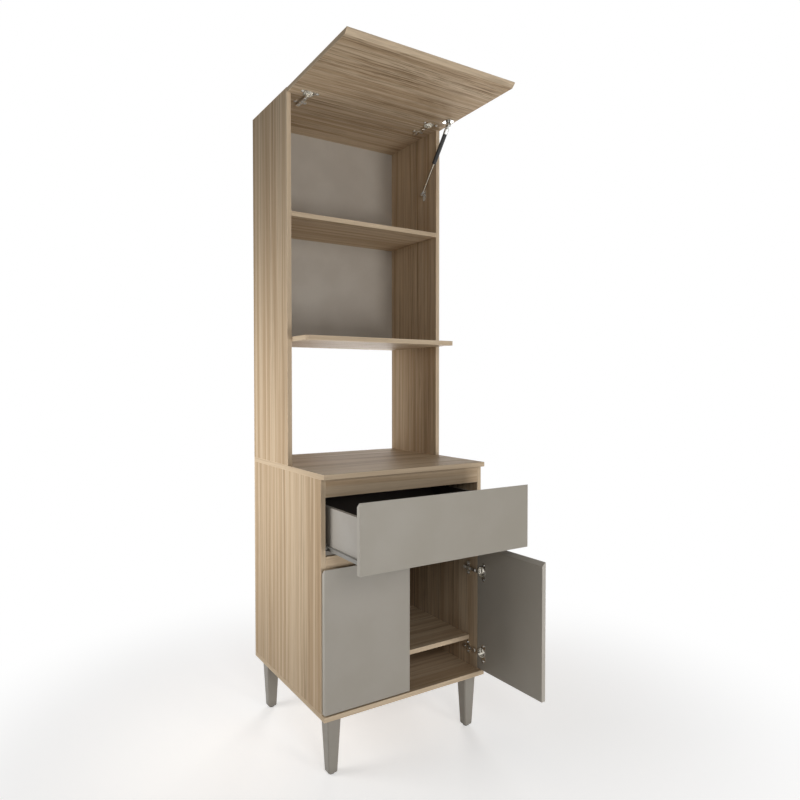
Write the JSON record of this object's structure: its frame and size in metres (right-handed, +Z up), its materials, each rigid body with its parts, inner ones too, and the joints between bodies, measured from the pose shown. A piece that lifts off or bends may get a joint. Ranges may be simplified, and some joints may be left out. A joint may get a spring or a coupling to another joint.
{
  "type": "microwave stand",
  "caption": "Tall oak-grain kitchen stand on tapered legs: drawer and doors below, open bay, microwave shelf and a top niche behind a lift-up flap.",
  "frame": {"origin": "on the floor, on the centre line, midway between the back sheets and the tip of the open door", "axes": "+X to the right seen from the front, +Y to the back, +Z up"},
  "size_m": [0.607, 0.8506, 2.1154],
  "materials": {
    "oak_upright": "light oak laminate, upright grain",
    "oak_flat": "light oak laminate, level grain",
    "grey_front": "warm grey satin lacquer",
    "oak_flap": "oak laminate, level grain",
    "back_sheet": "white hardboard",
    "drawer_board": "warm grey laminate",
    "drawer_sheet": "dark hardboard",
    "slide_steel": "satin",
    "roller_nylon": "matte",
    "grey_leg": "warm grey satin lacquer",
    "glide_plastic": "matte",
    "hinge_nickel": "nickel plated",
    "screw_steel": "zinc plated",
    "pin_steel": "zinc plated",
    "strut_black": "satin black",
    "strut_steel": "polished",
    "strut_fitting": "zinc plated"
  },
  "bodies": {
    "carcass": {"left_lower_side": "oak_upright", "right_lower_side": "oak_upright", "bottom_panel": "oak_flat", "worktop": "oak_flat", "top_rail": "oak_flat", "middle_rail": "oak_flat", "lower_back": "back_sheet", "inner_shelf": "oak_flat", "shelf_pins": "pin_steel", "left_upper_side": "oak_upright", "right_upper_side": "oak_upright", "top_panel": "oak_flat", "niche_shelf": "oak_flat", "microwave_shelf": "oak_flat", "upper_back": "back_sheet", "leg_bolts": "screw_steel", "front_left_leg": "grey_leg", "front_right_leg": "grey_leg", "rear_left_leg": "grey_leg", "rear_right_leg": "grey_leg", "foot_glides": "glide_plastic", "hinge_plates": "hinge_nickel", "left_door_upper_arm": "hinge_nickel", "left_door_lower_arm": "hinge_nickel", "right_door_upper_arm": "hinge_nickel", "right_door_lower_arm": "hinge_nickel", "flap_left_arm": "hinge_nickel", "flap_right_arm": "hinge_nickel", "hinge_plate_screws": "screw_steel", "left_channel": "slide_steel", "right_channel": "slide_steel", "strut_side_bracket": "strut_fitting"},
    "drawer": {"drawer_front": "grey_front", "drawer_left_side": "drawer_board", "drawer_right_side": "drawer_board", "drawer_back": "drawer_board", "drawer_bottom": "drawer_sheet", "left_runner": "slide_steel", "right_runner": "slide_steel"},
    "left_door": {"left_door": "grey_front", "left_door_upper_cup": "hinge_nickel", "left_door_lower_cup": "hinge_nickel", "left_door_screws": "screw_steel"},
    "right_door": {"right_door": "grey_front", "right_door_upper_cup": "hinge_nickel", "right_door_lower_cup": "hinge_nickel", "right_door_screws": "screw_steel"},
    "flap": {"flap": "oak_flap", "flap_left_cup": "hinge_nickel", "flap_right_cup": "hinge_nickel", "flap_screws": "screw_steel", "strut_flap_bracket": "strut_fitting"},
    "strut_cylinder": {"strut_cylinder": "strut_black", "strut_top_end": "strut_fitting"},
    "strut_rod": {"strut_rod": "strut_steel", "strut_rod_end": "strut_fitting"},
    "left_front_roller": {"left_front_roller": "roller_nylon"},
    "right_front_roller": {"right_front_roller": "roller_nylon"},
    "left_rear_roller": {"left_rear_roller": "roller_nylon"},
    "right_rear_roller": {"right_rear_roller": "roller_nylon"}
  },
  "joints": [
    {"name": "drawer_slide", "type": "slide", "parent": "carcass", "child": "drawer", "axis": [0, -1, 0], "range_m": [-0.21, 0.12]},
    {"name": "left_door_hinge", "type": "hinge", "parent": "carcass", "child": "left_door", "pos_m": [-0.291, -0.1365, 0.4135], "axis": [0, 0, -1], "range_deg": [0, 100]},
    {"name": "right_door_hinge", "type": "hinge", "parent": "carcass", "child": "right_door", "pos_m": [0.291, -0.1365, 0.4135], "axis": [0, 0, 1], "range_deg": [-91.5, 8.5]},
    {"name": "flap_hinge", "type": "hinge", "parent": "carcass", "child": "flap", "pos_m": [0, 0.1045, 2.1], "axis": [-1, 0, 0], "range_deg": [-91, 0]},
    {"name": "strut_pivot", "type": "hinge", "parent": "flap", "child": "strut_cylinder", "pos_m": [0.275, 0.02765, 2.08084], "axis": [1, 0, 0], "range_deg": [-105.86, 0]},
    {"name": "strut_slide", "type": "slide", "parent": "strut_cylinder", "child": "strut_rod", "axis": [0, 0.6225, -0.7826], "range_m": [-0.10033, 0]},
    {"name": "left_front_roller_turn", "type": "hinge", "parent": "carcass", "child": "left_front_roller", "pos_m": [-0.27875, -0.112, 0.6838], "axis": [1, 0, 0], "range_deg": [-1853, 1059]},
    {"name": "right_front_roller_turn", "type": "hinge", "parent": "carcass", "child": "right_front_roller", "pos_m": [0.27875, -0.112, 0.6838], "axis": [1, 0, 0], "range_deg": [-1853, 1059]},
    {"name": "left_rear_roller_turn", "type": "hinge", "parent": "drawer", "child": "left_rear_roller", "pos_m": [-0.27875, 0.098, 0.6835], "axis": [1, 0, 0], "range_deg": [-1853, 1059]},
    {"name": "right_rear_roller_turn", "type": "hinge", "parent": "drawer", "child": "right_rear_roller", "pos_m": [0.27875, 0.098, 0.6835], "axis": [1, 0, 0], "range_deg": [-1853, 1059]}
  ],
  "couplings": [
    {"joint": "strut_pivot", "follows": "flap_hinge", "ratio": 1.1622},
    {"joint": "strut_slide", "follows": "flap_hinge", "m_per_rad": 0.063107},
    {"joint": "left_front_roller_turn", "follows": "drawer_slide", "rad_per_m": 153.85},
    {"joint": "right_front_roller_turn", "follows": "drawer_slide", "rad_per_m": 153.85},
    {"joint": "left_rear_roller_turn", "follows": "drawer_slide", "rad_per_m": 153.85},
    {"joint": "right_rear_roller_turn", "follows": "drawer_slide", "rad_per_m": 153.85}
  ]
}
